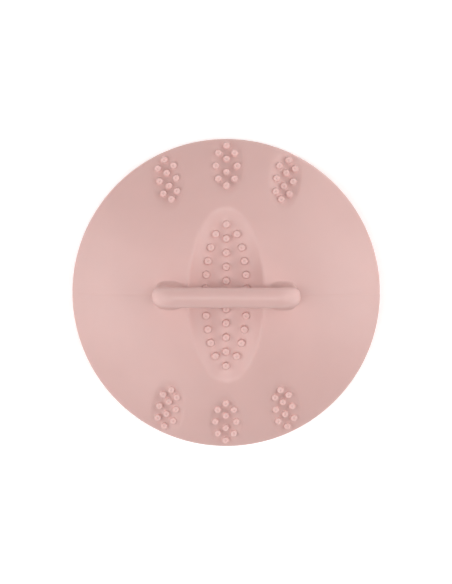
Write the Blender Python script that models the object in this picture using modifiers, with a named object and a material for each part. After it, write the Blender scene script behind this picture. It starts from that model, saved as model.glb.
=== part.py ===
"""Facial cleansing brush: a round silicone pad, held by one finger through a bridge handle.

Units are metres, +Z is up and X runs along the handle. The origin is the centre of the plane that
the bristle tips rest on. From top to bottom the brush is a domed back cover with seven hollows of
grip nubs, a handle with a rigid core, a ribbed inner frame that the handle is screwed to, and a
bristle pad that closes the underside.
"""

import math

import bmesh
import bpy
from mathutils import Matrix, Vector

MM = 0.001
GAP = 0.3 * MM

# Overall shape
DISC_RADIUS = 50 * MM
DOME_RISE = 16 * MM
BRISTLE_LENGTH = 6.5 * MM
PAD_THICKNESS = 2.5 * MM
RIM_Z = 10.5 * MM
EDGE_ROUND = 1.5 * MM
WALL = 2.6 * MM
SKIRT_BOTTOM = 7.9 * MM
OUTER_STEPS = 64
INNER_STEPS = 32

# Long hollow under the handle, for the finger that goes through it
LONG_HOLLOW_LENGTH = 56.4 * MM
LONG_HOLLOW_WIDTH = 24.6 * MM
LONG_HOLLOW_DEPTH = 6.8 * MM
LONG_BOWL_HEIGHT = 24 * MM

# Six fingertip hollows, three at each end of the disc
TIP_RADIUS = 41.5 * MM
TIP_SPREAD = math.radians(27)
TIP_LEAN = math.radians(11)
TIP_LENGTH = 17.2 * MM
TIP_WIDTH = 10 * MM
TIP_DEPTH = 1.3 * MM
TIP_BOWL_HEIGHT = 4 * MM

# Grip nubs
NUB_RADIUS = 1.1 * MM
NUB_TOP_RADIUS = 1 * MM
NUB_HEIGHT = 1.2 * MM
NUB_ROOT = 0.9 * MM
NUB_SIDES = 6
LONG_COLUMN_COUNT = 11
LONG_SIDE_COUNT = 5
LONG_SIDE_PITCH = 4.4 * MM
LONG_NUB_HALF_LENGTH = 22.7 * MM
LONG_NUB_HALF_WIDTH = 6.65 * MM
TIP_COLUMN_COUNT = 4
TIP_NUB_HALF_LENGTH = 6.35 * MM
TIP_SIDE_PITCH = 4.1 * MM
TIP_SIDE_SHIFT = 0.1 * MM
TIP_NUB_HALF_WIDTHS = (2.6 * MM, 3.4 * MM, 2.6 * MM)
OUTER_TIP_NUB_HALF_WIDTHS = (2.2 * MM, 2.7 * MM, 2.55 * MM)

# Handle
BAR_RADIUS = 3.25 * MM
BAR_Z = RIM_Z + 24 * MM
LEG_X = 19.7 * MM
ELBOW_RADIUS = 3.6 * MM
ELBOW_STEPS = 5
FOOT_RADIUS = 5.2 * MM
FOOT_X = 18.4 * MM
FLARE_HEIGHT = 5.5 * MM
FLARE_STEPS = 5
CORE_RADIUS = 1.9 * MM

# Inner frame
PLATE_RADIUS = 43.6 * MM
PLATE_BOTTOM = BRISTLE_LENGTH + PAD_THICKNESS + GAP
PLATE_THICKNESS = 2 * MM
RIB_COUNT = 12
RIB_THICKNESS = 1.6 * MM
RIB_END = PLATE_RADIUS - 1.5 * MM
HUB_RADIUS = 9 * MM
BOSS_RADIUS = 4.6 * MM
BOSS_FLOOR = 14.6 * MM
FRAME_CLEARANCE = 0.4 * MM

# Handle screws, M2 size with pan heads
SHANK_RADIUS = 0.9 * MM
HEAD_RADIUS = 1.9 * MM
HEAD_HEIGHT = 1.3 * MM
HEAD_RECESS_RADIUS = 0.7 * MM
SCREW_GRIP = 4.5 * MM

# Bristle pad
PAD_RADIUS = 49.7 * MM
PAD_EDGE_ROUND = 0.7 * MM
RING_PITCH = 4.6 * MM
RING_COUNT = 10
BRISTLE_RADIUS = 0.9 * MM
BRISTLE_TIP_RADIUS = 0.5 * MM
BRISTLE_SIDES = 4
BRISTLE_ROOT = 0.6 * MM
MASSAGE_PITCH = 5.2 * MM
MASSAGE_RADIUS = 1.6 * MM
MASSAGE_TIP_RADIUS = 1.15 * MM
MASSAGE_SIDES = 8
MASSAGE_HALF_LENGTH = 26 * MM
MASSAGE_HALF_WIDTH = 11.5 * MM
MASSAGE_MARGIN = 3.4 * MM

SPHERE_RADIUS = (DISC_RADIUS**2 + DOME_RISE**2) / (2 * DOME_RISE)
SPHERE_Z = RIM_Z + DOME_RISE - SPHERE_RADIUS
TOP_Z = RIM_Z + DOME_RISE


# ---------------------------------------------------------------- scene helpers


def clear_scene():
    for old in list(bpy.data.objects):
        bpy.data.objects.remove(old)


def new_collection(name):
    made = bpy.data.collections.new(name)
    bpy.context.scene.collection.children.link(made)
    return made


def material(name, colour, roughness, metallic=0.0):
    made = bpy.data.materials.new(name)
    made.use_nodes = True
    shader = made.node_tree.nodes["Principled BSDF"]
    shader.inputs["Base Color"].default_value = (*colour, 1)
    shader.inputs["Roughness"].default_value = roughness
    shader.inputs["Metallic"].default_value = metallic
    return made


def add(name, mesh, collection):
    made = bpy.data.objects.new(name, mesh)
    collection.objects.link(made)
    if collection is cutters:
        made.hide_render = True
        made.display_type = "WIRE"
    return made


def mesh_object(name, build, collection):
    """An object whose mesh is filled by build(bm)."""
    mesh = bpy.data.meshes.new(name)
    bm = bmesh.new()
    build(bm)
    bm.to_mesh(mesh)
    bm.free()
    return add(name, mesh, collection)


def turned(name, profile, collection, steps=OUTER_STEPS):
    """A solid of revolution about Z from (radius, z) points, listed down its outer side."""
    mesh = bpy.data.meshes.new(name)
    edges = [(i, i + 1) for i in range(len(profile) - 1)]
    mesh.from_pydata([(radius, 0, z) for radius, z in profile], edges, [])
    made = add(name, mesh, collection)
    screw = made.modifiers.new("turn", "SCREW")
    screw.steps = screw.render_steps = steps
    screw.use_merge_vertices = True
    screw.merge_threshold = 0.00001
    return made


def boolean(target, operation, tool):
    cut = target.modifiers.new(f"{operation.lower()} {tool.name}", "BOOLEAN")
    cut.operation = operation
    cut.object = tool


def cylinder(bm, radius, low, high, x=0.0, y=0.0, sides=32, top_radius=None):
    bmesh.ops.create_cone(
        bm,
        cap_ends=True,
        segments=sides,
        radius1=radius,
        radius2=radius if top_radius is None else top_radius,
        depth=high - low,
        matrix=Matrix.Translation((x, y, (low + high) / 2)),
    )


def cylinder_object(name, collection, radius, low, high, x=0.0, sides=32):
    return mesh_object(name, lambda bm: cylinder(bm, radius, low, high, x, sides=sides), collection)


def tube(name, points, radius, resolution, collection, scales=None):
    """A closed tube along points, as a mesh, so that it can be cut and can cut."""
    curve = bpy.data.curves.new(name, "CURVE")
    curve.dimensions = "3D"
    curve.bevel_depth = radius
    curve.bevel_resolution = resolution
    curve.use_fill_caps = True
    spline = curve.splines.new("POLY")
    spline.points.add(len(points) - 1)
    for i, (point, place) in enumerate(zip(spline.points, points)):
        point.co = (*place, 1)
        point.radius = scales[i] if scales else 1
    drawn = bpy.data.objects.new(name, curve)
    bpy.context.scene.collection.objects.link(drawn)
    bpy.context.view_layer.update()
    graph = bpy.context.evaluated_depsgraph_get()
    mesh = bpy.data.meshes.new_from_object(drawn.evaluated_get(graph))
    mesh.transform(drawn.matrix_world)
    bpy.data.objects.remove(drawn)
    bm = bmesh.new()
    bm.from_mesh(mesh)
    bmesh.ops.remove_doubles(bm, verts=bm.verts, dist=0.00001)
    bmesh.ops.recalc_face_normals(bm, faces=bm.faces)
    bm.to_mesh(mesh)
    bm.free()
    return add(name, mesh, collection)


def finish(made, look):
    """Gives a part its material, and smooth shading that keeps its hard edges."""
    made.data.materials.append(look)
    made.data.shade_smooth()
    made.data.set_sharp_from_angle(angle=math.radians(40))
    return made


# ---------------------------------------------------------------- the domed surface


def dome_z(radius, inset=0.0):
    """Height of the dome at a radius, or of the surface that lies inset below it."""
    return SPHERE_Z + math.sqrt((SPHERE_RADIUS - inset) ** 2 - radius**2)


def dome_arc(inset, outer_radius, count):
    """(radius, z) points from the axis out along the dome, or along its inner side."""
    radii = [outer_radius * i / count for i in range(count + 1)]
    return [(radius, dome_z(radius, inset)) for radius in radii]


def quarter_round(centre, radius, start, stop, count):
    """(radius, z) points on an arc between two angles, without its first point."""
    angles = [start + (stop - start) * i / count for i in range(1, count + 1)]
    return [(centre[0] + radius * math.cos(a), centre[1] + radius * math.sin(a)) for a in angles]


def outer_profile(extra=0.0):
    """The dome, its rounded edge and the skirt, all pushed out by extra."""
    edge_radius = DISC_RADIUS - EDGE_ROUND
    reach = SPHERE_RADIUS - EDGE_ROUND
    start = math.acos(edge_radius / reach)
    edge_z = SPHERE_Z + reach * math.sin(start)
    dome_end = (SPHERE_RADIUS + extra) * math.cos(start)
    dome = dome_arc(-extra, dome_end, 9)
    edge = quarter_round((edge_radius, edge_z), EDGE_ROUND + extra, start, 0, 3)
    return [*dome, *edge, (DISC_RADIUS + extra, SKIRT_BOTTOM), (0, SKIRT_BOTTOM)]


def inner_profile(clearance, bottom):
    """The room under the cover, shrunk by clearance."""
    radius = DISC_RADIUS - WALL - clearance
    return [*dome_arc(WALL + clearance, radius, 6), (radius, bottom), (0, bottom)]


# ---------------------------------------------------------------- hollows and nubs


class Bowl:
    """An ellipsoid that hollows the dome."""

    def __init__(self, placing, semi_axes):
        self.placing = placing
        self.semi_axes = semi_axes

    def cutter(self, name, segments, rings, growth=0.0):
        grown = [axis + growth for axis in self.semi_axes]
        matrix = self.placing @ Matrix.Diagonal((*grown, 1))

        def build(bm):
            bmesh.ops.create_uvsphere(
                bm, u_segments=segments, v_segments=rings, radius=1, matrix=matrix
            )

        return mesh_object(name, build, cutters)

    def floor_z(self, x, y):
        """Height of the bowl's lower side at a plan position, or None beside the bowl."""
        to_unit = (self.placing @ Matrix.Diagonal((*self.semi_axes, 1))).inverted()
        start = to_unit @ Vector((x, y, 0))
        rise = to_unit.to_3x3() @ Vector((0, 0, 1))
        middle = -start.dot(rise) / rise.dot(rise)
        reach = middle**2 - (start.dot(start) - 1) / rise.dot(rise)
        return middle - math.sqrt(reach) if reach > 0 else None


def semi_axis(half_size, rise, bowl_height):
    """Semi-axis of an ellipsoid whose section, rise above its lowest point, is half_size wide."""
    return half_size / math.sqrt(1 - (1 - rise / bowl_height) ** 2)


def long_bowl():
    """The hollow under the handle, cut straight down."""
    half_length, half_width = LONG_HOLLOW_LENGTH / 2, LONG_HOLLOW_WIDTH / 2
    floor = TOP_Z - LONG_HOLLOW_DEPTH
    semi_axes = (
        semi_axis(half_width, dome_z(half_width) - floor, LONG_BOWL_HEIGHT),
        semi_axis(half_length, dome_z(half_length) - floor, LONG_BOWL_HEIGHT),
        LONG_BOWL_HEIGHT,
    )
    return Bowl(Matrix.Translation((0, 0, floor + LONG_BOWL_HEIGHT)), semi_axes)


class TipHollow:
    """A fingertip hollow: end is 1 or -1 along Y, and side is -1, 0 or 1 along X."""

    def __init__(self, end, side):
        bearing = side * TIP_SPREAD
        lean = side * TIP_LEAN
        self.outer = side != 0
        self.centre = TIP_RADIUS * Vector((math.sin(bearing), end * math.cos(bearing)))
        self.along = Vector((math.sin(lean), end * math.cos(lean)))
        self.across = Vector((math.cos(lean), -end * math.sin(lean)))

    def bowl(self):
        """The hollow's ellipsoid, which stands square to the dome."""
        surface = Vector((*self.centre, dome_z(TIP_RADIUS)))
        normal = (surface - Vector((0, 0, SPHERE_Z))).normalized()
        along = Vector((*self.along, 0))
        along = (along - normal * along.dot(normal)).normalized()
        turn = Matrix((along.cross(normal), along, normal)).transposed().to_4x4()
        centre = surface + normal * (TIP_BOWL_HEIGHT - TIP_DEPTH)
        half_length = TIP_LENGTH / 2 / normal.z
        half_width = TIP_WIDTH / 2
        semi_axes = (
            semi_axis(half_width, TIP_DEPTH - half_width**2 / SPHERE_RADIUS / 2, TIP_BOWL_HEIGHT),
            semi_axis(half_length, TIP_DEPTH - half_length**2 / SPHERE_RADIUS / 2, TIP_BOWL_HEIGHT),
            TIP_BOWL_HEIGHT,
        )
        return Bowl(Matrix.Translation(centre) @ turn, semi_axes)

    def nub_places(self):
        """A column of nubs along the hollow, and three pairs beside it."""
        places = []
        for share in spread(TIP_COLUMN_COUNT):
            places.append(self.centre + self.along * share * TIP_NUB_HALF_LENGTH)
        half_widths = OUTER_TIP_NUB_HALF_WIDTHS if self.outer else TIP_NUB_HALF_WIDTHS
        for row, half_width in zip((-1, 0, 1), half_widths):
            middle = self.centre + self.along * (row * TIP_SIDE_PITCH - TIP_SIDE_SHIFT)
            places += [middle + self.across * half_width, middle - self.across * half_width]
        return places


def spread(count):
    """Evenly spaced numbers from -1 to 1."""
    return [2 * i / (count - 1) - 1 for i in range(count)]


def long_nub_places():
    """A column of nubs along the long hollow, and an oval of them round it."""
    places = [Vector((0, share * LONG_NUB_HALF_LENGTH)) for share in spread(LONG_COLUMN_COUNT)]
    along = LONG_SIDE_PITCH / 2
    for _ in range(LONG_SIDE_COUNT):
        across = LONG_NUB_HALF_WIDTH * math.sqrt(1 - (along / LONG_NUB_HALF_LENGTH) ** 2)
        for x in (-across, across):
            places += [Vector((x, along)), Vector((x, -along))]
        slope = along / across * (LONG_NUB_HALF_WIDTH / LONG_NUB_HALF_LENGTH) ** 2
        along += LONG_SIDE_PITCH / math.sqrt(1 + slope**2)
    return places


def top_z(x, y, bowls):
    floors = [bowl.floor_z(x, y) for bowl in bowls]
    return min([dome_z(math.hypot(x, y)), *(floor for floor in floors if floor is not None)])


def nub(bm, x, y, bowls):
    """A tapered nub that stands along the mould's draw, with its root sunk into the surface."""
    foot = Vector((x, y, top_z(x, y, bowls)))
    bmesh.ops.create_cone(
        bm,
        cap_ends=True,
        segments=NUB_SIDES,
        radius1=NUB_RADIUS,
        radius2=NUB_TOP_RADIUS,
        depth=NUB_HEIGHT + NUB_ROOT,
        matrix=Matrix.Translation(foot + Vector((0, 0, (NUB_HEIGHT - NUB_ROOT) / 2))),
    )


# ---------------------------------------------------------------- the pieces


def make_back_cover():
    """The domed shell, hollowed on top, with its nubs and the two holes for the handle's core."""
    hollow = long_bowl()
    tips = [TipHollow(end, side) for end in (1, -1) for side in (-1, 0, 1)]
    bowls = [hollow, *(tip.bowl() for tip in tips)]
    places = long_nub_places() + [place for tip in tips for place in tip.nub_places()]

    def all_nubs(bm):
        for place in places:
            nub(bm, place.x, place.y, bowls)

    cover = turned("back_cover", outer_profile(), parts)
    boolean(cover, "DIFFERENCE", hollow.cutter("long bowl", 32, 40))
    for number, bowl in enumerate(bowls[1:]):
        boolean(cover, "DIFFERENCE", bowl.cutter(f"tip bowl {number}", 16, 16))
    room = turned("room", inner_profile(0, SKIRT_BOTTOM - MM), cutters, INNER_STEPS)
    boolean(room, "DIFFERENCE", hollow.cutter("long bowl backing", 20, 24, WALL))
    boolean(cover, "DIFFERENCE", room)
    boolean(cover, "UNION", mesh_object("nubs", all_nubs, cutters))
    for side in (-1, 1):
        hole = cylinder_object(
            f"post hole {side}", cutters, CORE_RADIUS + GAP, RIM_Z, BAR_Z, side * LEG_X, 16
        )
        boolean(cover, "DIFFERENCE", hole)
    return finish(cover, silicone)


def mirrored(left):
    """A centre line's left half, and its mirror image from the middle back down."""
    return left + [Vector((-point.x, point.y, point.z)) for point in reversed(left)]


def elbow():
    """Centre line of the left elbow, from the leg up into the bar."""
    points = []
    for i in range(ELBOW_STEPS + 1):
        angle = math.pi / 2 * i / ELBOW_STEPS
        x = -LEG_X + ELBOW_RADIUS * (1 - math.cos(angle))
        points.append(Vector((x, 0, BAR_Z - ELBOW_RADIUS * (1 - math.sin(angle)))))
    return points


def grip_line():
    """Centre line of the handle's skin, and its thickness at each point compared with the bar."""
    foot_z = dome_z(FOOT_X)
    points = [Vector((-FOOT_X, 0, foot_z - FOOT_RADIUS))]
    scales = [FOOT_RADIUS / BAR_RADIUS]
    for i in range(FLARE_STEPS):
        share = i / FLARE_STEPS
        ease = share**2 * (3 - 2 * share)
        points.append(Vector((-FOOT_X - (LEG_X - FOOT_X) * ease, 0, foot_z + FLARE_HEIGHT * share)))
        scales.append(1 + (FOOT_RADIUS / BAR_RADIUS - 1) * (1 - share) ** 2)
    points += elbow()
    scales += [1.0] * (ELBOW_STEPS + 1)
    return mirrored(points), scales + scales[::-1]


def make_handle_grip():
    """The silicone skin: a round bar on two legs, whose feet flare out over the dome."""
    points, scales = grip_line()
    grip = tube("handle_grip", points, BAR_RADIUS, 6, parts, scales)
    bore_line = mirrored([Vector((-LEG_X, 0, RIM_Z)), *elbow()])
    boolean(grip, "DIFFERENCE", tube("grip bore", bore_line, CORE_RADIUS + GAP, 3, cutters))
    boolean(grip, "DIFFERENCE", turned("dome under feet", outer_profile(GAP), cutters))
    return finish(grip, silicone)


def make_handle_core():
    """The rigid U-shaped bar. Its legs pass through the cover and stand in the frame's bosses."""
    line = mirrored([Vector((-LEG_X, 0, BOSS_FLOOR + GAP)), *elbow()])
    core = tube("handle_core", line, CORE_RADIUS, 3, parts)
    for side in (-1, 1):
        hole = cylinder_object(
            f"core hole {side}",
            cutters,
            SHANK_RADIUS + GAP,
            BOSS_FLOOR,
            BOSS_FLOOR + SCREW_GRIP + GAP,
            side * LEG_X,
            12,
        )
        boolean(core, "DIFFERENCE", hole)
    return finish(core, nylon)


def rib(bm, angle, low, high):
    inner = HUB_RADIUS - RIB_THICKNESS / 2
    size = Matrix.Diagonal((RIB_END - inner, RIB_THICKNESS, high - low, 1))
    place = Matrix.Translation(((inner + RIB_END) / 2, 0, (low + high) / 2))
    bmesh.ops.create_cube(bm, size=1, matrix=Matrix.Rotation(angle, 4, "Z") @ place @ size)


def make_core_frame():
    """The plate with its hub, ribs and bosses, trimmed to the room under the cover."""
    low = PLATE_BOTTOM + PLATE_THICKNESS / 2
    below = PLATE_BOTTOM - MM
    frame = mesh_object(
        "core_frame",
        lambda bm: cylinder(
            bm, PLATE_RADIUS, PLATE_BOTTOM, PLATE_BOTTOM + PLATE_THICKNESS, sides=OUTER_STEPS
        ),
        parts,
    )
    for number in range(RIB_COUNT):
        angle = 2 * math.pi * (number + 0.5) / RIB_COUNT
        block = mesh_object(f"rib {number}", lambda bm: rib(bm, angle, low, TOP_Z), cutters)
        boolean(frame, "UNION", block)
    boolean(frame, "UNION", cylinder_object("hub wall", cutters, HUB_RADIUS, low, TOP_Z))
    hub_bore = cylinder_object("hub bore", cutters, HUB_RADIUS - RIB_THICKNESS, below, BAR_Z)
    boolean(frame, "DIFFERENCE", hub_bore)
    for side in (-1, 1):
        boss = cylinder_object(f"boss {side}", cutters, BOSS_RADIUS, low, TOP_Z, side * LEG_X, 20)
        boolean(frame, "UNION", boss)
    room = turned("frame room", inner_profile(FRAME_CLEARANCE, below), cutters, INNER_STEPS)
    backing = long_bowl().cutter("frame backing", 20, 24, WALL + FRAME_CLEARANCE)
    boolean(room, "DIFFERENCE", backing)
    boolean(frame, "INTERSECT", room)
    for side in (-1, 1):
        bores = {
            "post": (CORE_RADIUS + GAP, BOSS_FLOOR, TOP_Z),
            "shank": (SHANK_RADIUS + GAP, below, BOSS_FLOOR + MM),
            "head": (HEAD_RADIUS + GAP, below, PLATE_BOTTOM + HEAD_HEIGHT + 2 * GAP),
        }
        for what, (radius, bottom, top) in bores.items():
            name = f"{what} bore {side}"
            bore = cylinder_object(name, cutters, radius, bottom, top, side * LEG_X, 16)
            boolean(frame, "DIFFERENCE", bore)
    return finish(frame, polypropylene)


def make_screw(name, side):
    """A pan-head screw that goes up through the frame into a leg of the handle's core."""
    head_bottom = PLATE_BOTTOM + GAP
    head_top = head_bottom + HEAD_HEIGHT
    tip = BOSS_FLOOR + SCREW_GRIP
    profile = [
        (0, tip),
        (SHANK_RADIUS / 2, tip - 0.3 * SHANK_RADIUS),
        (SHANK_RADIUS, tip - SHANK_RADIUS),
        (SHANK_RADIUS, head_top),
        (HEAD_RADIUS, head_top),
        (HEAD_RADIUS, head_bottom + 0.3 * HEAD_HEIGHT),
        (0.7 * HEAD_RADIUS, head_bottom),
        (0, head_bottom),
    ]
    screw = turned(name, profile, parts, 16)
    screw.location.x = side * LEG_X
    recess = cylinder_object(
        f"{name} recess",
        cutters,
        HEAD_RECESS_RADIUS,
        head_bottom - MM,
        head_bottom + HEAD_HEIGHT / 2,
        side * LEG_X,
        6,
    )
    boolean(screw, "DIFFERENCE", recess)
    return finish(screw, steel)


def in_massage_zone(x, y, margin=0.0):
    reach_x = x / (MASSAGE_HALF_WIDTH + margin)
    reach_y = y / (MASSAGE_HALF_LENGTH + margin)
    return reach_x**2 + reach_y**2 <= 1


def massage_places():
    """Plan positions of the thick nubs in the middle of the bristle face, on a hexagonal grid."""
    places = []
    row_pitch = MASSAGE_PITCH * math.sqrt(3) / 2
    rows = int(MASSAGE_HALF_LENGTH / row_pitch)
    columns = math.ceil(MASSAGE_HALF_WIDTH / MASSAGE_PITCH)
    for row in range(-rows, rows + 1):
        shift = (row % 2) * MASSAGE_PITCH / 2
        for column in range(-columns, columns + 1):
            place = (column * MASSAGE_PITCH + shift, row * row_pitch)
            if in_massage_zone(*place):
                places.append(place)
    return places


def bristle_places():
    """Plan positions of the cleansing bristles, on rings round the massage zone."""
    places = []
    for ring in range(1, RING_COUNT + 1):
        radius = ring * RING_PITCH
        count = round(2 * math.pi * ring)
        for i in range(count):
            angle = 2 * math.pi * (i + 0.5 * (ring % 2)) / count
            place = (radius * math.cos(angle), radius * math.sin(angle))
            if not in_massage_zone(*place, MASSAGE_MARGIN):
                places.append(place)
    return places


def all_bristles(bm):
    high = BRISTLE_LENGTH + BRISTLE_ROOT
    for x, y in bristle_places():
        cylinder(bm, BRISTLE_TIP_RADIUS, 0, high, x, y, BRISTLE_SIDES, BRISTLE_RADIUS)
    for x, y in massage_places():
        cylinder(bm, MASSAGE_TIP_RADIUS, 0, high, x, y, MASSAGE_SIDES, MASSAGE_RADIUS)


def make_bristle_pad():
    """The disc that closes the underside: a plug inside the skirt, a flange below it, bristles."""
    top = BRISTLE_LENGTH + PAD_THICKNESS
    plug_radius = DISC_RADIUS - WALL - GAP
    flange_top = SKIRT_BOTTOM - GAP
    edge_centre = (PAD_RADIUS - PAD_EDGE_ROUND, BRISTLE_LENGTH + PAD_EDGE_ROUND)
    profile = [
        (0, top),
        (plug_radius, top),
        (plug_radius, flange_top),
        (PAD_RADIUS, flange_top),
        (PAD_RADIUS, edge_centre[1]),
        *quarter_round(edge_centre, PAD_EDGE_ROUND, 0, -math.pi / 2, 3),
        (0, BRISTLE_LENGTH),
    ]
    pad = turned("bristle_pad", profile, parts)
    boolean(pad, "UNION", mesh_object("bristles", all_bristles, cutters))
    return finish(pad, silicone)


clear_scene()
parts = new_collection("facial_cleansing_brush")
cutters = new_collection("cutters")
silicone = material("pink silicone", (0.74, 0.49, 0.46), 0.5)
nylon = material("white nylon", (0.8, 0.79, 0.76), 0.45)
polypropylene = material("white polypropylene", (0.83, 0.82, 0.8), 0.4)
steel = material("zinc plated steel", (0.6, 0.6, 0.62), 0.3, 1.0)

make_back_cover()
make_handle_grip()
make_handle_core()
make_core_frame()
make_screw("handle_screw_left", -1)
make_screw("handle_screw_right", 1)
make_bristle_pad()
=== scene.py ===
"""Looks of the facial cleansing brush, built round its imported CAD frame.

The two visible silicone mouldings and the handle's skin are remade here as fine closed meshes. Each
moulding is a turned outline whose surface is laid out flat, filled with points that crowd together at
every nub or bristle, triangulated there, and then mapped back to space. Units are metres, and the
frame is the CAD's: X along the handle, +Z up, bristle tips at Z = 0.
"""

import math

import bmesh
import bpy
import numpy as np
from mathutils import Euler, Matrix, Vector
from mathutils.geometry import delaunay_2d_cdt


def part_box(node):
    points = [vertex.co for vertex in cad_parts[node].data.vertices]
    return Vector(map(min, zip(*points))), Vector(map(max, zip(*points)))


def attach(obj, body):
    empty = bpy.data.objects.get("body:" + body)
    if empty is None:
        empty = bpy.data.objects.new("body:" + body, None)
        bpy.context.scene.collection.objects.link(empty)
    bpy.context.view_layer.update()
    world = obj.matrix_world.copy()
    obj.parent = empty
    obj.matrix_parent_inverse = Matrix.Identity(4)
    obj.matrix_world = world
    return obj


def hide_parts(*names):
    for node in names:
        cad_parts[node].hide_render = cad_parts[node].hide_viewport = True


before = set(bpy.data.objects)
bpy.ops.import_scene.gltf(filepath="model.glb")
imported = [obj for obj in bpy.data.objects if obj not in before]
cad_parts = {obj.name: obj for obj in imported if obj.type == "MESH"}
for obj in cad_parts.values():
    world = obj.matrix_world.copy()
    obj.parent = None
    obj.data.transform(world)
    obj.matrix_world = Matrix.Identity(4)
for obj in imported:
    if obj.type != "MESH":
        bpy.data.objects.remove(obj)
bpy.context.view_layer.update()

MM = 0.001
GAP = 0.3 * MM

cover_low, cover_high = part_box("back_cover")
grip_low, grip_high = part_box("handle_grip")
core_low, core_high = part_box("handle_core")
pad_low, pad_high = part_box("bristle_pad")

# Meshes
SHARP_ANGLE = math.radians(50)
WELD_DISTANCE = 0.002 * MM
STUD_CLEARANCE = 0.22 * MM
STUD_RISE = "stud_rise"

# Cover
DISC_RADIUS = cover_high.x
SKIRT_BOTTOM = cover_low.z
SKIRT_HEIGHT = 2.6 * MM
RIM_Z = SKIRT_BOTTOM + SKIRT_HEIGHT
DOME_RISE = 16 * MM
TOP_Z = RIM_Z + DOME_RISE
SPHERE_RADIUS = (DISC_RADIUS**2 + DOME_RISE**2) / (2 * DOME_RISE)
SPHERE_Z = TOP_Z - SPHERE_RADIUS
EDGE_ROUND = 1.5 * MM
LIP_ROUND = 0.35 * MM
WALL = 2.6 * MM
EDGE_SEGMENTS = 384
COARSE_SPACING = 1.2 * MM
COARSE_RIM_MARGIN = 0.9 * MM
FINE_SPACING = 0.45 * MM
FINE_RIM_MARGIN = 0.35 * MM
LINING_SPACING = 1.8 * MM
LINING_RIM_MARGIN = 1.5 * MM

# Hollows. They cut only where the skin's normal has at least this much of Z.
LEAST_UPWARD = 0.3
LONG_HALF_LENGTH = 28.1 * MM
LONG_HALF_WIDTH = 12.1 * MM
LONG_DEPTH = 6.8 * MM
LONG_BOWL_HEIGHT = 24 * MM
LONG_CREST = 0.6 * MM
TIP_RADIUS = 41.5 * MM
TIP_SPREAD = math.radians(27)
TIP_LEAN = math.radians(11)
TIP_HALF_LENGTH = 8.6 * MM
TIP_HALF_WIDTH = 5 * MM
TIP_DEPTH = 1.3 * MM
TIP_BOWL_HEIGHT = 4 * MM
TIP_CREST = 0.6 * MM

# Mould line
GROOVE_HALF_WIDTH = 0.13 * MM
GROOVE_DEPTH = 0.05 * MM
GROOVE_START_MARGIN = 1.5 * MM
GROOVE_END_MARGIN = 0.3 * MM
GROOVE_CLEARANCE = 0.6 * MM
GROOVE_STEP = 0.7 * MM
GROOVE_ROWS = (-0.45 * MM, -0.2 * MM, -0.1 * MM, 0, 0.1 * MM, 0.2 * MM, 0.45 * MM)

# Grip nubs
NUB_SIDES = 24
NUB_RADIUS = 1.24 * MM
NUB_TOP_RADIUS = 1.1 * MM
NUB_HEIGHT = 1.2 * MM
NUB_FILLET = 0.15 * MM
NUB_EDGE_ROUND = 0.12 * MM
DIMPLE_RADIUS = 0.42 * MM
DIMPLE_DEPTH = 0.15 * MM
LONG_COLUMN_COUNT = 11
LONG_SIDE_COUNT = 5
LONG_SIDE_PITCH = 4.4 * MM
LONG_NUB_HALF_LENGTH = 22.7 * MM
LONG_NUB_HALF_WIDTH = 6.65 * MM
TIP_COLUMN_COUNT = 4
TIP_NUB_WIDTH = 0.92
TIP_NUB_HALF_LENGTH = 6.35 * MM
TIP_SIDE_PITCH = 4.1 * MM
TIP_SIDE_SHIFT = 0.1 * MM
TIP_NUB_HALF_WIDTHS = (2.6 * MM, 3.4 * MM, 2.6 * MM)
OUTER_TIP_NUB_HALF_WIDTHS = (2.2 * MM, 2.7 * MM, 2.55 * MM)

# Handle
BAR_RADIUS = 3.25 * MM
BAR_Z = grip_high.z - BAR_RADIUS
LEG_X = grip_high.x - BAR_RADIUS
ELBOW_RADIUS = 4.6 * MM
BORE_ELBOW_RADIUS = 3.6 * MM
BORE_RADIUS = core_high.y + GAP
BORE_SIDES = 24
OUTER_BORE_MARGIN = 0.3 * MM
INNER_BORE_MARGIN = 0.5 * MM
FOOT_X = 18.1 * MM
FOOT_RADIUS = 5.0 * MM
FLARE_HEIGHT = 5.6 * MM
FLARE_STEPS = 14
FLARE_SINK = 0.04 * MM
LEG_SQUARENESS = 2.4
FOOT_SQUARENESS = 3.0
HANDLE_SIDES = 56

# Bristle pad
BRISTLE_SIDES = 12
PAD_RADIUS = pad_high.x
PAD_TOP = pad_high.z
BRISTLE_LENGTH = 6.5 * MM
FLANGE_TOP = SKIRT_BOTTOM - GAP
PAD_EDGE_ROUND = 0.7 * MM
PLUG_RADIUS = DISC_RADIUS - WALL - GAP
PAD_SPACING = 1.5 * MM
PAD_EDGE_MARGIN = 0.8 * MM
BACK_SPACING = 4 * MM
RING_PITCH = 4.6 * MM
RING_COUNT = 10
BRISTLE_RADIUS = 0.92 * MM
BRISTLE_TIP_RADIUS = 0.52 * MM
BRISTLE_FILLET = 0.35 * MM
MASSAGE_PITCH = 5.2 * MM
MASSAGE_RADIUS = 1.62 * MM
MASSAGE_TIP_RADIUS = 1.15 * MM
MASSAGE_FILLET = 0.4 * MM
MASSAGE_HALF_LENGTH = 26 * MM
MASSAGE_HALF_WIDTH = 11.5 * MM
MASSAGE_MARGIN = 3.4 * MM

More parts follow.
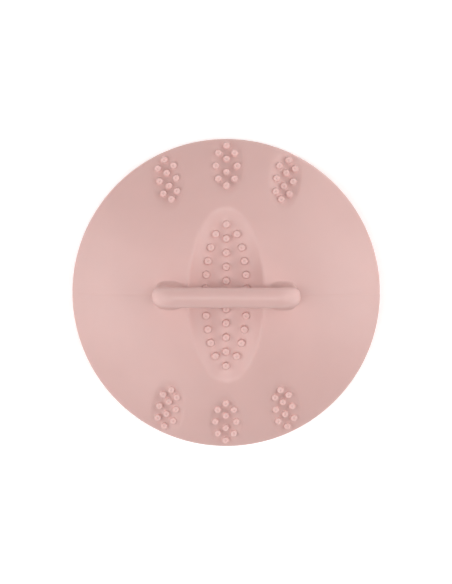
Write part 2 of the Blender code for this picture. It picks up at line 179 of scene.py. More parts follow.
# Studio. A soft light is (name, bearing, elevation, width, height, watts), in degrees and metres.
SOFT_LIGHTS = (
    ("overhead", 0, 90, 1.0, 0.3, 5.1),
    ("right", 0, 18, 0.9, 0.5, 2.2),
    ("high right", 0, 38, 0.9, 0.5, 3.4),
    ("right behind", 45, 38, 0.6, 0.5, 1.1),
    ("low right behind", 45, 5, 0.6, 0.16, 1.3),
    ("left", 180, 18, 0.9, 0.5, 2.25),
    ("high left", 180, 38, 0.9, 0.5, 3.0),
    ("left in front", 225, 38, 0.9, 0.6, 2.4),
)
LIGHT_DISTANCE = 1.1
NEAR_GLOW = 0.34
NEAR_GLOW_RADIUS = 0.3
FAR_GLOW = 0.45
FAR_GLOW_RADIUS = 1.3
BACKDROP_RADIUS = 5.0
BACKDROP_HEIGHT = 0.5
BACKDROP_SIDES = 96
CAMERA_DISTANCE = 16 * DISC_RADIUS
CAMERA_TILT = math.radians(3.5)
CAMERA_ROLL = math.radians(0.15)
CAMERA_AIM = Vector((-0.05 * MM, 0.38 * MM, RIM_Z))
CAMERA_LENS = 151.9

# Colours
PINK = (0.757, 0.486, 0.453)
WHITE = (0.83, 0.82, 0.8)
NATURAL = (0.8, 0.79, 0.74)


# ---------------------------------------------------------------- turned outlines


class Outline:
    """Arcs and lines from the axis outwards, measured by the length along them.

    Outwards runs to the right, and the outline's normal is on the left of that direction.
    """

    def __init__(self):
        self.pieces = []
        self.ends = [0.0]

    def line(self, start, end):
        start = np.array(start)
        length = float(np.linalg.norm(np.array(end) - start))
        along = (np.array(end) - start) / length
        normal = np.array([-along[1], along[0]])

        def at(distance):
            return start + distance[:, None] * along, np.tile(normal, (len(distance), 1))

        return self.add(length, at)

    def arc(self, centre, radius, start, stop):
        length = radius * abs(stop - start)
        side = 1 if stop < start else -1

        def at(distance):
            angle = start + (stop - start) * distance / length
            spoke = np.column_stack([np.cos(angle), np.sin(angle)])
            return np.array(centre) + radius * spoke, side * spoke

        return self.add(length, at)

    def add(self, length, at):
        self.pieces.append(at)
        self.ends.append(self.ends[-1] + length)
        return self

    def at(self, distance):
        """(radius, z) places and normals at these lengths along the outline."""
        distance = np.clip(distance, 0, self.ends[-1])
        place = np.zeros((len(distance), 2))
        normal = np.zeros((len(distance), 2))
        for start, end, piece in zip(self.ends, self.ends[1:], self.pieces):
            here = (distance >= start) & (distance <= end)
            place[here], normal[here] = piece(distance[here] - start)
        return place, normal


def smooth_max(a, b, width):
    """The larger of two arrays, rounded where they come within width of each other."""
    share = np.clip(0.5 + 0.5 * (b - a) / width, 0, 1)
    return a + (b - a) * share + width * share * (1 - share)


class Bowl:
    """An ellipsoid that hollows a surface, leaving a rounded crest."""

    def __init__(self, centre, axes, semi_axes, crest):
        self.centre = np.array(centre)
        self.to_unit = np.array(axes) / np.array(semi_axes)[:, None]
        self.crest = crest

    def depth(self, points, normals):
        """How far below each point, against its normal, the bowl's lower side is."""
        start = (points - self.centre) @ self.to_unit.T
        step = -normals @ self.to_unit.T
        a = (step * step).sum(1)
        b = (start * step).sum(1)
        c = (start * start).sum(1) - 1
        reach = b * b - a * c
        found = (-b + np.sqrt(np.maximum(reach, 0))) / a
        faces_up = normals[:, 2] > LEAST_UPWARD
        return np.where(faces_up & (reach > 0), found, -1.0)


class Skin:
    """A turned surface, laid out flat as (length along the outline, bearing), with its hollows."""

    def __init__(self, outline, bowls=(), groove=None):
        self.outline = outline
        self.bowls = bowls
        self.groove = groove

    def turned(self, flat):
        length = np.hypot(flat[:, 0], flat[:, 1])
        bearing = np.arctan2(flat[:, 1], flat[:, 0])
        place, normal = self.outline.at(length)
        spoke = np.column_stack([np.cos(bearing), np.sin(bearing)])
        points = np.column_stack([place[:, :1] * spoke, place[:, 1]])
        normals = np.column_stack([normal[:, :1] * spoke, normal[:, 1]])
        return points, normals

    def points(self, flat):
        points, normals = self.turned(flat)
        depth = np.zeros(len(flat))
        for bowl in self.bowls:
            depth = smooth_max(depth, bowl.depth(points, normals), bowl.crest)
        if self.groove:
            depth = depth + self.groove(flat)
        return points - normals * depth[:, None]

    def flat_under(self, plan):
        """Where the skin's points with these (x, y) positions are on its flat layout."""
        flat = plan.copy()
        for _ in range(12):
            flat += plan - self.points(flat)[:, :2]
        return flat


# ---------------------------------------------------------------- point layouts


def ring(length, count, turn=0.0):
    angle = 2 * math.pi * (np.arange(count) + turn) / count
    return length * np.column_stack([np.cos(angle), np.sin(angle)])


def ring_grid(first, last, spacing):
    """Points about spacing apart, on rings from first to last."""
    count = max(1, round((last - first) / spacing))
    rings = []
    for i in range(count + 1):
        length = first + (last - first) * i / count
        rings.append(ring(length, max(1, round(2 * math.pi * length / spacing)), 0.5 * (i % 2)))
    return np.concatenate(rings)


def stepped(start, stop, count):
    """Evenly spaced lengths after start, up to and with stop."""
    return [start + (stop - start) * (i + 1) / count for i in range(count)]


def fillet_root(radius, fillet, count=4):
    """(radius, height) points up a fillet that joins a face to a wall of this radius."""
    angles = [math.pi / 2 * i / count for i in range(count + 1)]
    return [
        (radius + fillet * (1 - math.sin(a)), fillet * (1 - math.cos(a))) for a in angles
    ]


def rounded_top(radius, height, fillet, count=5):
    """(radius, height) points over the rounded edge of a stud's top."""
    angles = [math.pi / 2 * i / count for i in range(count + 1)]
    return [
        (radius - fillet * (1 - math.cos(a)), height - fillet * (1 - math.sin(a))) for a in angles
    ]


def fill_flat(skin, grid, studs=(), sides=0):
    """Triangulates a skin from a grid and its studs, which stand along Z.

    Each stud is a plan position and a profile of (radius, height), inwards to its level tip.
    Returns places in space, triangles that face along the outline's normal, the flat layout, and
    how high each point is on its stud.
    """
    flat = []
    places = []
    rises = []
    clear = np.ones(len(grid), bool)
    for centre, profile in studs:
        tip_height = profile[-1][1]
        circles = [np.array(centre)[None]]
        heights = [np.array([tip_height])]
        for number, (radius, height) in enumerate(profile[:-1]):
            circles.append(centre + ring(radius, sides, 0.5 * (number % 2)))
            heights.append(np.full(sides, height))
        laid = skin.flat_under(np.concatenate(circles))
        heights = np.concatenate(heights)
        stud = skin.points(laid)
        level = (stud[0, 2] - stud[:, 2]) * heights / tip_height
        stud[:, 2] += level + heights
        flat.append(laid)
        places.append(stud)
        rises.append(heights)
        margin = np.hypot(*(laid - laid[0]).T).max() + STUD_CLEARANCE
        clear &= np.hypot(*(grid - laid[0]).T) > margin
    grid = grid[clear]
    flat = np.concatenate([grid, *flat])
    places = np.concatenate([skin.points(grid), *places])
    rises = np.concatenate([np.zeros(len(grid)), *rises])
    coordinates = [Vector(point) for point in (flat / MM).tolist()]
    found = delaunay_2d_cdt(coordinates, [], [], 0, 1e-6)
    source = [origins[0] for origins in found[3]]
    triangles = np.array([[source[corner] for corner in face] for face in found[2]])
    a, b, c = (flat[triangles[:, i]] for i in range(3))
    turn = (b - a)[:, 0] * (c - a)[:, 1] - (b - a)[:, 1] * (c - a)[:, 0]
    triangles[turn < 0] = triangles[turn < 0][:, ::-1]
    return places, triangles, flat, rises


def solid_from(name, skins, look, rises=()):
    """One object from skins of (places, triangles), welded where their edges meet.

    rises says how high the first skin's points are on its studs, which the material uses to paint a
    highlight on their tops.
    """
    places = np.concatenate([skin[0] for skin in skins])
    starts = np.cumsum([0] + [len(skin[0]) for skin in skins])
    faces = np.concatenate([skin[1] + start for skin, start in zip(skins, starts)])
    mesh = bpy.data.meshes.new(name)
    mesh.from_pydata(places.tolist(), [], faces.tolist())
    heights = np.zeros(len(places))
    heights[: len(rises)] = rises
    mesh.attributes.new(STUD_RISE, "FLOAT", "POINT").data.foreach_set("value", heights)
    return finish_mesh(name, mesh, look)


def finish_mesh(name, mesh, look):
    bm = bmesh.new()
    bm.from_mesh(mesh)
    bmesh.ops.remove_doubles(bm, verts=bm.verts, dist=WELD_DISTANCE)
    loose = [vertex for vertex in bm.verts if not vertex.link_faces]
    bmesh.ops.delete(bm, geom=loose, context="VERTS")
    bm.to_mesh(mesh)
    open_edges = sum(1 for edge in bm.edges if len(edge.link_faces) != 2)
    print(name, len(mesh.polygons), "faces,", open_edges, "edges that aren't closed")
    bm.free()
    mesh.materials.append(look)
    mesh.shade_smooth()
    mesh.set_sharp_from_angle(angle=SHARP_ANGLE)
    made = bpy.data.objects.new(name, mesh)
    bpy.context.scene.collection.objects.link(made)
    return made


# ---------------------------------------------------------------- cover


def semi_axis(half_size, rise, bowl_height):
    """Semi-axis of an ellipsoid whose section, rise above its lowest point, is half_size wide."""
    return half_size / math.sqrt(1 - (1 - rise / bowl_height) ** 2)


def dome_z(radius):
    return SPHERE_Z + math.sqrt(SPHERE_RADIUS**2 - radius**2)


def long_bowl(growth=0.0):
    floor = TOP_Z - LONG_DEPTH
    semi_axes = [
        semi_axis(LONG_HALF_WIDTH, dome_z(LONG_HALF_WIDTH) - floor, LONG_BOWL_HEIGHT) + growth,
        semi_axis(LONG_HALF_LENGTH, dome_z(LONG_HALF_LENGTH) - floor, LONG_BOWL_HEIGHT) + growth,
        LONG_BOWL_HEIGHT + growth,
    ]
    return Bowl([0, 0, floor + LONG_BOWL_HEIGHT], np.eye(3), semi_axes, LONG_CREST)


class TipHollow:
    """A fingertip hollow: end is 1 or -1 along Y, and side is -1, 0 or 1 along X."""

    def __init__(self, end, side):
        bearing = side * TIP_SPREAD
        lean = side * TIP_LEAN
        self.outer = side != 0
        self.centre = TIP_RADIUS * np.array([math.sin(bearing), end * math.cos(bearing)])
        self.along = np.array([math.sin(lean), end * math.cos(lean)])
        self.across = np.array([math.cos(lean), -end * math.sin(lean)])

    def bowl(self):
        surface = np.array([*self.centre, dome_z(TIP_RADIUS)])
        normal = (surface - [0, 0, SPHERE_Z]) / SPHERE_RADIUS
        along = np.array([*self.along, 0.0])
        along -= normal * (along @ normal)
        along /= np.linalg.norm(along)
        half_length = TIP_HALF_LENGTH / normal[2]
        sags = [half**2 / (2 * SPHERE_RADIUS) for half in (TIP_HALF_WIDTH, half_length)]
        semi_axes = [
            semi_axis(TIP_HALF_WIDTH, TIP_DEPTH - sags[0], TIP_BOWL_HEIGHT),
            semi_axis(half_length, TIP_DEPTH - sags[1], TIP_BOWL_HEIGHT),
            TIP_BOWL_HEIGHT,
        ]
        centre = surface + normal * (TIP_BOWL_HEIGHT - TIP_DEPTH)
        return Bowl(centre, [np.cross(along, normal), along, normal], semi_axes, TIP_CREST)

    def nub_places(self):
        places = []
        for share in np.linspace(-1, 1, TIP_COLUMN_COUNT):
            places.append(self.centre + self.along * share * TIP_NUB_HALF_LENGTH)
        half_widths = OUTER_TIP_NUB_HALF_WIDTHS if self.outer else TIP_NUB_HALF_WIDTHS
        for row, half_width in zip((-1, 0, 1), half_widths):
            middle = self.centre + self.along * (row * TIP_SIDE_PITCH - TIP_SIDE_SHIFT)
            places += [middle + self.across * half_width, middle - self.across * half_width]
        return places


def long_nub_places():
    """A column of nubs along the long hollow, and an oval of them round it."""
    places = [
        np.array([0, share * LONG_NUB_HALF_LENGTH])
        for share in np.linspace(-1, 1, LONG_COLUMN_COUNT)
    ]
    along = LONG_SIDE_PITCH / 2
    for _ in range(LONG_SIDE_COUNT):
        across = LONG_NUB_HALF_WIDTH * math.sqrt(1 - (along / LONG_NUB_HALF_LENGTH) ** 2)
        for x in (-across, across):
            places += [np.array([x, along]), np.array([x, -along])]
        slope = along / across * (LONG_NUB_HALF_WIDTH / LONG_NUB_HALF_LENGTH) ** 2
        along += LONG_SIDE_PITCH / math.sqrt(1 + slope**2)
    return places


def nub_profile(width=1.0):
    """A short tapered stud with a filleted foot, a rounded edge and a dimple in its top."""
    return [
        *fillet_root(width * NUB_RADIUS, NUB_FILLET),
        *rounded_top(width * NUB_TOP_RADIUS, NUB_HEIGHT, NUB_EDGE_ROUND),
        (1.3 * DIMPLE_RADIUS, NUB_HEIGHT),
        (DIMPLE_RADIUS, NUB_HEIGHT),
        (0.7 * DIMPLE_RADIUS, NUB_HEIGHT - 0.4 * DIMPLE_DEPTH),
        (0.35 * DIMPLE_RADIUS, NUB_HEIGHT - 0.9 * DIMPLE_DEPTH),
        (0, NUB_HEIGHT - DIMPLE_DEPTH),
    ]


def cover_outline():
    edge_radius = DISC_RADIUS - EDGE_ROUND
    reach = SPHERE_RADIUS - EDGE_ROUND
    start = math.acos(edge_radius / reach)
    edge_z = SPHERE_Z + reach * math.sin(start)
    lip_radius = DISC_RADIUS - LIP_ROUND
    lip_z = SKIRT_BOTTOM + LIP_ROUND
    return (
        Outline()
        .arc((0, SPHERE_Z), SPHERE_RADIUS, math.pi / 2, start)
        .arc((edge_radius, edge_z), EDGE_ROUND, start, 0)
        .line((DISC_RADIUS, edge_z), (DISC_RADIUS, lip_z))
        .arc((lip_radius, lip_z), LIP_ROUND, 0, -math.pi / 2)
        .line((lip_radius, SKIRT_BOTTOM), (DISC_RADIUS - WALL, SKIRT_BOTTOM))
    )


def lining_outline():
    """The cover's inner side, from the axis to the foot of its skirt."""
    radius = DISC_RADIUS - WALL
    inner = SPHERE_RADIUS - WALL
    corner = math.acos(radius / inner)
    corner_z = SPHERE_Z + inner * math.sin(corner)
    return (
        Outline()
        .arc((0, SPHERE_Z), inner, math.pi / 2, corner)
        .line((radius, corner_z), (radius, SKIRT_BOTTOM))
    )


def parting_groove(flat):
    """A hair-thin mould line from each end of the handle out to the edge and down the skirt."""
    across = np.exp(-((flat[:, 1] / GROOVE_HALF_WIDTH) ** 2))
    length = np.abs(flat[:, 0])
    return GROOVE_DEPTH * across * ((length > LEG_X) & (length < cover_outline().ends[3]))


def cover_skin():
    hollows = [long_bowl(), *(tip.bowl() for tip in TIPS)]
    return Skin(cover_outline(), hollows, parting_groove)


def post_rings(inset):
    """The rims of the two holes for the handle's core, on a layout that lies inset below the dome."""
    rings = []
    for side in (-1, 1):
        circle = ring(BORE_RADIUS, BORE_SIDES) + [side * LEG_X, 0]
        reach = np.hypot(circle[:, 0], circle[:, 1])
        radius = SPHERE_RADIUS - inset
        rings.append(circle * (radius * np.arcsin(reach / radius) / reach)[:, None])
    return rings


def outside_posts(grid, rings, margin):
    keep = np.ones(len(grid), bool)
    for rim in rings:
        centre = rim.mean(0)
        reach = np.hypot(*(rim - centre).T).max()
        keep &= np.hypot(*(grid - centre).T) > reach + margin
    return grid[keep]


def without_posts(triangles, flat, rings):
    """The triangles of a flat layout, less those that would close its post holes."""
    keep = np.ones(len(triangles), bool)
    for rim in rings:
        centre = rim.mean(0)
        reach = np.hypot(*(rim - centre).T).max()
        inside = np.hypot(*(flat - centre).T) < reach + WELD_DISTANCE
        keep &= ~inside[triangles].all(1)
    return triangles[keep]


def cover_grid(skin):
    """Coarse points on the open dome, fine ones in and near the hollows, rings round the edge."""
    ends = skin.outline.ends
    coarse = ring_grid(0, ends[1] - COARSE_RIM_MARGIN, COARSE_SPACING)
    fine = ring_grid(0, ends[1] - FINE_RIM_MARGIN, FINE_SPACING)
    near = []
    for grid in (coarse, fine):
        points, normals = skin.turned(grid)
        depths = [bowl.depth(points, normals) + 0.8 * bowl.crest for bowl in skin.bowls]
        near.append(np.max(depths, axis=0) > 0)
    lengths = [
        ends[1],
        *stepped(ends[1], ends[2], 5),
        *stepped(ends[2], ends[3], 2),
        *stepped(ends[3], ends[4], 4),
        *stepped(ends[4], ends[5], 2),
    ]
    edge = [ring(length, EDGE_SEGMENTS) for length in lengths]
    groove_start = LEG_X + GROOVE_START_MARGIN
    rows = []
    for side in (-1, 1):
        along = side * np.arange(groove_start, ends[1] - GROOVE_END_MARGIN, GROOVE_STEP)
        for offset in GROOVE_ROWS:
            rows.append(np.column_stack([along, np.full(len(along), offset)]))
    rows = np.concatenate(rows)
    open_dome = np.concatenate([coarse[~near[0]], fine[near[1]]])
    away = np.abs(open_dome[:, 1]) > GROOVE_CLEARANCE
    beside = away | (np.abs(open_dome[:, 0]) < groove_start)
    return np.concatenate([open_dome[beside], rows, *edge])


def make_cover(look):
    skin = cover_skin()
    studs = [(place, nub_profile()) for place in long_nub_places()]
    for tip in TIPS:
        studs += [(place, nub_profile(TIP_NUB_WIDTH)) for place in tip.nub_places()]
    rims = post_rings(0)
    grid = outside_posts(cover_grid(skin), rims, OUTER_BORE_MARGIN)
    grid = np.concatenate([grid, *rims])
    places, triangles, flat, rises = fill_flat(skin, grid, studs, NUB_SIDES)
    outer = places, without_posts(triangles, flat, rims)

    lining = Skin(lining_outline(), [long_bowl(WALL)])
    ends = lining.outline.ends
    inner_rims = post_rings(WALL)
    inner_grid = ring_grid(0, ends[1] - LINING_RIM_MARGIN, LINING_SPACING)
    edge = [ring(length, EDGE_SEGMENTS) for length in (ends[1], ends[2])]
    inner_grid = np.concatenate(
        [outside_posts(inner_grid, inner_rims, INNER_BORE_MARGIN), *inner_rims, *edge]
    )
    places, triangles, flat, _ = fill_flat(lining, inner_grid)
    inner = places, without_posts(triangles, flat, inner_rims)[:, ::-1]
    walls = []
    for outer_rim, inner_rim in zip(rims, inner_rims):
        walls.append(tube_wall(skin.points(outer_rim), lining.points(inner_rim)))
    return solid_from("cover_shell", [outer, inner, *walls], look, rises)


def tube_wall(upper, lower):
    """Quads, as triangles, between two rings of as many points, facing the axis between them."""
    count = len(upper)
    here = np.arange(count)
    there = (here + 1) % count
    first = np.column_stack([here, here + count, there + count])
    second = np.column_stack([here, there + count, there])
    return np.concatenate([upper, lower]), np.concatenate([first, second])[:, ::-1]


# ---------------------------------------------------------------- handle


def section(power):
    """A closed section of half-width 1: a circle at power 2, and squarer above that."""
    angle = 2 * math.pi * np.arange(HANDLE_SIDES) / HANDLE_SIDES
    circle = np.column_stack([np.cos(angle), np.sin(angle)])
    reach = (np.abs(circle) ** power).sum(1) ** (1 / power)
    return circle / reach[:, None]


def path_ring(centre, spoke, radius, power=2.0):
    """A section round a point of the handle's centre line, whose spoke lies in the XZ plane."""
    across = np.array([0.0, 1.0, 0.0])
    return np.array(centre) + radius * section(power) @ np.array([spoke, across])


def arch_rings(radius, elbow_radius, leg_bottom, bar_count, elbow_count, leg_power=2.0):
    """Rings up the left leg, along the bar and down the right leg. The bar is round."""
    left = [path_ring((-LEG_X, 0, leg_bottom), (-1, 0, 0), radius, leg_power)]
    for i in range(elbow_count + 1):
        angle = math.pi - math.pi / 2 * i / elbow_count
        power = leg_power + (2 - leg_power) * i / elbow_count
        spoke = np.array([math.cos(angle), 0, math.sin(angle)])
        turn_centre = np.array([-LEG_X + elbow_radius, 0, BAR_Z - elbow_radius])
        left.append(path_ring(turn_centre + elbow_radius * spoke, spoke, radius, power))
    half_bar = LEG_X - elbow_radius
    for i in range(1, bar_count):
        x = -half_bar + 2 * half_bar * i / bar_count
        left.append(path_ring((x, 0, BAR_Z), (0, 0, 1), radius))
    right = [points * [-1, 1, 1] for points in left[: elbow_count + 2]]
    return left + right[::-1]


def flare_rings(skin):
    """Rings of the left foot, from under the dome's skin up to the leg.

    The foot is squarer and stands further in than the leg, and its edge follows the dome.
    """
    rings = []
    for i in range(FLARE_STEPS + 1):
        turn = math.pi / 2 * i / FLARE_STEPS
        up = 1 - math.cos(turn)
        radius = BAR_RADIUS + (FOOT_RADIUS - BAR_RADIUS) * (1 - math.sin(turn))
        centre_x = -LEG_X + (LEG_X - FOOT_X) * (1 - up) ** 2
        power = FOOT_SQUARENESS + (LEG_SQUARENESS - FOOT_SQUARENESS) * up
        outline = radius * section(power)
        x = centre_x - outline[:, 0]
        y = outline[:, 1]
        level = dome_z(FOOT_X) + FLARE_HEIGHT
        ground = skin.points(skin.flat_under(np.column_stack([x, y])))[:, 2] - FLARE_SINK
        rings.append(np.column_stack([x, y, ground + (level - ground) * up]))
    return rings


def make_handle(look):
    """A closed skin: the flared foot, leg, bar and foot outside, and the bore for the core inside."""
    skin = cover_skin()
    left = flare_rings(skin)
    right = [points * [-1, 1, 1] for points in left]
    leg_bottom = dome_z(FOOT_X) + FLARE_HEIGHT + 0.2 * MM
    arch = arch_rings(BAR_RADIUS, ELBOW_RADIUS, leg_bottom, 24, 16, LEG_SQUARENESS)
    outside = [*left, *arch, *right[::-1]]
    bore_bottom = dome_z(LEG_X + BORE_RADIUS)
    inside = arch_rings(BORE_RADIUS, BORE_ELBOW_RADIUS, bore_bottom, 6, 6)[::-1]
    rings = np.array(outside + inside)
    count = len(rings)
    number = np.arange(count * HANDLE_SIDES).reshape(count, HANDLE_SIDES)
    after = np.roll(number, -1, axis=0)
    quads = np.stack(
        [number, after, np.roll(after, -1, axis=1), np.roll(number, -1, axis=1)], axis=-1
    ).reshape(-1, 4)
    mesh = bpy.data.meshes.new("handle_skin")
    mesh.from_pydata(rings.reshape(-1, 3).tolist(), [], quads.tolist())
    return finish_mesh("handle_skin", mesh, look)


# ---------------------------------------------------------------- bristle pad


def bristle_profile(root_radius, tip_radius, fillet):
    """A tapered bristle with a filleted foot and a round tip."""
    return [
        *fillet_root(root_radius, fillet, 3),
        *rounded_top(tip_radius, BRISTLE_LENGTH, tip_radius, 4),
    ]


def in_massage_zone(x, y, margin=0.0):
    reach_x = x / (MASSAGE_HALF_WIDTH + margin)
    reach_y = y / (MASSAGE_HALF_LENGTH + margin)
    return reach_x**2 + reach_y**2 <= 1


def massage_places():
    places = []
    row_pitch = MASSAGE_PITCH * math.sqrt(3) / 2
    rows = int(MASSAGE_HALF_LENGTH / row_pitch)
    columns = math.ceil(MASSAGE_HALF_WIDTH / MASSAGE_PITCH)
    for row in range(-rows, rows + 1):
        for column in range(-columns, columns + 1):
            place = (column * MASSAGE_PITCH + (row % 2) * MASSAGE_PITCH / 2, row * row_pitch)
            if in_massage_zone(*place):
                places.append(place)
    return places


def bristle_places():
    places = []
    for number in range(1, RING_COUNT + 1):
        count = round(2 * math.pi * number)
        for x, y in ring(number * RING_PITCH, count, 0.5 * (number % 2)):
            if not in_massage_zone(x, y, MASSAGE_MARGIN):
                places.append((x, y))
    return places


def pad_outline():
    """The pad's underside and edge, seen from below: heights here are depths under the top."""
    face = -BRISTLE_LENGTH
    edge_radius = PAD_RADIUS - PAD_EDGE_ROUND
    edge_z = face - PAD_EDGE_ROUND
    return (
        Outline()
        .line((0, face), (edge_radius, face))
        .arc((edge_radius, edge_z), PAD_EDGE_ROUND, math.pi / 2, 0)
        .line((PAD_RADIUS, edge_z), (PAD_RADIUS, -FLANGE_TOP))
        .line((PAD_RADIUS, -FLANGE_TOP), (PLUG_RADIUS, -FLANGE_TOP))
        .line((PLUG_RADIUS, -FLANGE_TOP), (PLUG_RADIUS, -PAD_TOP))
    )


def make_pad(look):
    skin = Skin(pad_outline())
    ends = skin.outline.ends
    bristle = bristle_profile(BRISTLE_RADIUS, BRISTLE_TIP_RADIUS, BRISTLE_FILLET)
    massage = bristle_profile(MASSAGE_RADIUS, MASSAGE_TIP_RADIUS, MASSAGE_FILLET)
    studs = [(place, bristle) for place in bristle_places()]
    studs += [(place, massage) for place in massage_places()]
    lengths = [ends[1], *stepped(ends[1], ends[2], 5), *ends[3:]]
    grid = [ring_grid(0, ends[1] - PAD_EDGE_MARGIN, PAD_SPACING)]
    grid += [ring(length, EDGE_SEGMENTS) for length in lengths]
    places, triangles, *_ = fill_flat(skin, np.concatenate(grid), studs, BRISTLE_SIDES)
    places = places * [1, 1, -1]

    back = Skin(Outline().line((0, PAD_TOP), (PLUG_RADIUS, PAD_TOP)))
    back_grid = np.concatenate(
        [ring_grid(0, PLUG_RADIUS - BACK_SPACING, BACK_SPACING), ring(PLUG_RADIUS, EDGE_SEGMENTS)]
    )
    back_places, back_triangles, *_ = fill_flat(back, back_grid)
    skins = [(places, triangles[:, ::-1]), (back_places, back_triangles)]
    return solid_from("bristle_moulding", skins, look)


# ---------------------------------------------------------------- materials


def nodes_of(name):
    made = bpy.data.materials.new(name)
    made.use_nodes = True
    tree = made.node_tree
    return made, tree, tree.nodes["Principled BSDF"]


def noise(tree, scale, detail=3.0):
    made = tree.nodes.new("ShaderNodeTexNoise")
    made.inputs["Scale"].default_value = scale
    made.inputs["Detail"].default_value = detail
    where = tree.nodes.new("ShaderNodeTexCoord")
    tree.links.new(where.outputs["Object"], made.inputs["Vector"])
    return made.outputs["Fac"]


def remap(tree, value, low, high, source=(0.3, 0.7)):
    """A value whose source range, by default that of a noise, becomes low to high."""
    made = tree.nodes.new("ShaderNodeMapRange")
    made.inputs["From Min"].default_value = source[0]
    made.inputs["From Max"].default_value = source[1]
    made.inputs["To Min"].default_value = low
    made.inputs["To Max"].default_value = high
    tree.links.new(value, made.inputs["Value"])
    return made.outputs["Result"]


def mix_colour(tree, share, first, second):
    """A mix of two colours. The first may be another node's output."""
    made = tree.nodes.new("ShaderNodeMix")
    made.data_type = "RGBA"
    if isinstance(first, bpy.types.NodeSocket):
        tree.links.new(first, made.inputs[6])
    else:
        made.inputs[6].default_value = (*first, 1)
    made.inputs[7].default_value = (*second, 1)
    tree.links.new(share, made.inputs["Factor"])
    return made.outputs[2]


def add_bump(tree, shader, value, distance, strength):
    made = tree.nodes.new("ShaderNodeBump")
    made.inputs["Distance"].default_value = distance
    made.inputs["Strength"].default_value = strength
    tree.links.new(value, made.inputs["Height"])
    tree.links.new(made.outputs["Normal"], shader.inputs["Normal"])


def silicone(name, colour):
    """Matte moulded silicone: slightly translucent, with faint clouding and a fine eroded skin.

    The flat tops of the grip nubs are painted a little paler, a painted highlight where light falls
    on them.
    """
    made, tree, shader = nodes_of(name)
    clouds = remap(tree, noise(tree, 70), 0, 1)
    darker = [channel * 0.965 for channel in colour]
    # Painted highlight: points near a nub's level top, found from the stud_rise attribute, are mixed
    # towards a paler colour.
    highlight_colour = [channel * 1.05 for channel in colour]
    rise = tree.nodes.new("ShaderNodeAttribute")
    rise.attribute_name = STUD_RISE
    painted_top_highlight = remap(tree, rise.outputs["Fac"], 0, 1, (NUB_HEIGHT - DIMPLE_DEPTH, NUB_HEIGHT))
    tint = mix_colour(tree, painted_top_highlight, mix_colour(tree, clouds, darker, colour), highlight_colour)
    tree.links.new(tint, shader.inputs["Base Color"])
    tree.links.new(remap(tree, noise(tree, 900), 0.35, 0.43), shader.inputs["Roughness"])
    shader.inputs["Subsurface Weight"].default_value = 0.1
    shader.inputs["Subsurface Radius"].default_value = (1, 0.45, 0.35)
    shader.inputs["Subsurface Scale"].default_value = 0.8 * MM
    shader.inputs["Specular IOR Level"].default_value = 0.5
    add_bump(tree, shader, noise(tree, 6500, 2), 0.02 * MM, 0.35)
    return made


def plastic(name, colour, roughness):
    """Moulded plastic with a faint mottle and a fine spark-eroded grain."""
    made, tree, shader = nodes_of(name)
    darker = [channel * 0.93 for channel in colour]
    tree.links.new(mix_colour(tree, noise(tree, 120), darker, colour), shader.inputs["Base Color"])
    tree.links.new(
        remap(tree, noise(tree, 1500), roughness - 0.05, roughness + 0.05),
        shader.inputs["Roughness"],
    )
    add_bump(tree, shader, noise(tree, 5000), 0.02 * MM, 0.3)
    return made


def zinc(name):
    """Zinc-plated steel with a brushed variation in its gloss."""
    made, tree, shader = nodes_of(name)
    shader.inputs["Metallic"].default_value = 1
    tint = mix_colour(tree, noise(tree, 800), (0.5, 0.5, 0.53), (0.66, 0.66, 0.67))
    tree.links.new(tint, shader.inputs["Base Color"])
    tree.links.new(remap(tree, noise(tree, 4000), 0.22, 0.4), shader.inputs["Roughness"])
    return made


# ---------------------------------------------------------------- stage


def make_backdrop():
    """A pale floor that curves up into a low wall a long way off."""
    outline = (
        Outline()
        .line((0, 0), (BACKDROP_RADIUS, 0))
        .arc((BACKDROP_RADIUS, BACKDROP_HEIGHT), BACKDROP_HEIGHT, -math.pi / 2, 0)
    )
    wall = np.linspace(*outline.ends[1:], 9)
    lengths = np.concatenate([[0.5 * BACKDROP_RADIUS], wall])
    circles = [ring(length, BACKDROP_SIDES) for length in lengths]
    grid = np.concatenate([[[0.0, 0.0]], *circles])
    places, triangles, *_ = fill_flat(Skin(outline), grid)
    mesh = bpy.data.meshes.new("backdrop")
    mesh.from_pydata(places.tolist(), [], triangles.tolist())
    mesh.shade_smooth()
    mesh.materials.append(pale_paper())
    backdrop = bpy.data.objects.new("backdrop", mesh)
    bpy.context.scene.collection.objects.link(backdrop)


def pale_paper():
    """White paper that glows a little, more so away from the object."""
    made, tree, shader = nodes_of("pale paper")
    shader.inputs["Base Color"].default_value = (0.93, 0.93, 0.93, 1)
    shader.inputs["Roughness"].default_value = 0.9
    shader.inputs["Specular IOR Level"].default_value = 0.1
    shader.inputs["Emission Color"].default_value = (1, 1, 1, 1)
    where = tree.nodes.new("ShaderNodeTexCoord")
    reach = tree.nodes.new("ShaderNodeVectorMath")
    reach.operation = "LENGTH"
    tree.links.new(where.outputs["Object"], reach.inputs[0])
    glow = tree.nodes.new("ShaderNodeMapRange")
    glow.inputs["From Min"].default_value = NEAR_GLOW_RADIUS
    glow.inputs["From Max"].default_value = FAR_GLOW_RADIUS
    glow.inputs["To Min"].default_value = NEAR_GLOW
    glow.inputs["To Max"].default_value = FAR_GLOW
    tree.links.new(reach.outputs["Value"], glow.inputs["Value"])
    tree.links.new(glow.outputs["Result"], shader.inputs["Emission Strength"])
    return made


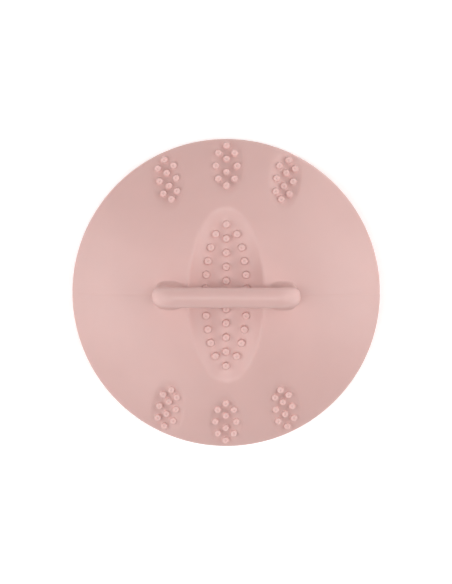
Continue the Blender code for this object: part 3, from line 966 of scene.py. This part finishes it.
def make_lights():
    """Soft boxes on a sphere round the object, in an otherwise dark world."""
    for name, bearing, elevation, width, height, watts in SOFT_LIGHTS:
        bearing = math.radians(bearing)
        elevation = math.radians(elevation)
        level = math.cos(elevation)
        towards = Vector((level * math.cos(bearing), level * math.sin(bearing), math.sin(elevation)))
        data = bpy.data.lights.new(name, "AREA")
        data.shape = "RECTANGLE"
        data.size = width
        data.size_y = height
        data.energy = watts
        made = bpy.data.objects.new(name, data)
        made.location = Vector((0, 0, RIM_Z)) + LIGHT_DISTANCE * towards
        if elevation < math.pi / 2:
            made.rotation_euler = towards.to_track_quat("Z", "Y").to_euler()
        bpy.context.scene.collection.objects.link(made)
    world = bpy.data.worlds.new("studio")
    world.use_nodes = True
    world.node_tree.nodes["Background"].inputs["Strength"].default_value = 0
    bpy.context.scene.world = world
    bpy.context.scene.view_settings.view_transform = "Standard"


def make_camera():
    """A long lens high over the dome, tipped a little towards +Y."""
    turn = Euler((-CAMERA_TILT, 0, CAMERA_ROLL))
    data = bpy.data.cameras.new("camera")
    data.lens = CAMERA_LENS
    data.sensor_width = 36
    data.clip_start = 0.01
    made = bpy.data.objects.new("camera", data)
    made.location = CAMERA_AIM + turn.to_matrix() @ Vector((0, 0, CAMERA_DISTANCE))
    made.rotation_euler = turn
    bpy.context.scene.collection.objects.link(made)
    bpy.context.scene.camera = made


TIPS = [TipHollow(end, side) for end in (1, -1) for side in (-1, 0, 1)]
make_camera()
make_lights()
make_backdrop()

pink_silicone = silicone("pink silicone", PINK)
cover = make_cover(pink_silicone)
handle = make_handle(pink_silicone)
pad = make_pad(silicone("pink bristle silicone", PINK))
for piece, node, slot in (
    (cover, "back_cover", "cover_silicone"),
    (handle, "handle_grip", "cover_silicone"),
    (pad, "bristle_pad", "bristle_silicone"),
):
    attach(piece, "root")
    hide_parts(node)

white_plastic = plastic("white polypropylene", WHITE, 0.4)
natural_nylon = plastic("natural nylon", NATURAL, 0.45)
plated_steel = zinc("zinc plate")
for node, look in (
    ("core_frame", white_plastic),
    ("handle_core", natural_nylon),
    ("handle_screw_left", plated_steel),
    ("handle_screw_right", plated_steel),
):
    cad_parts[node].data.materials.clear()
    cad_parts[node].data.materials.append(look)
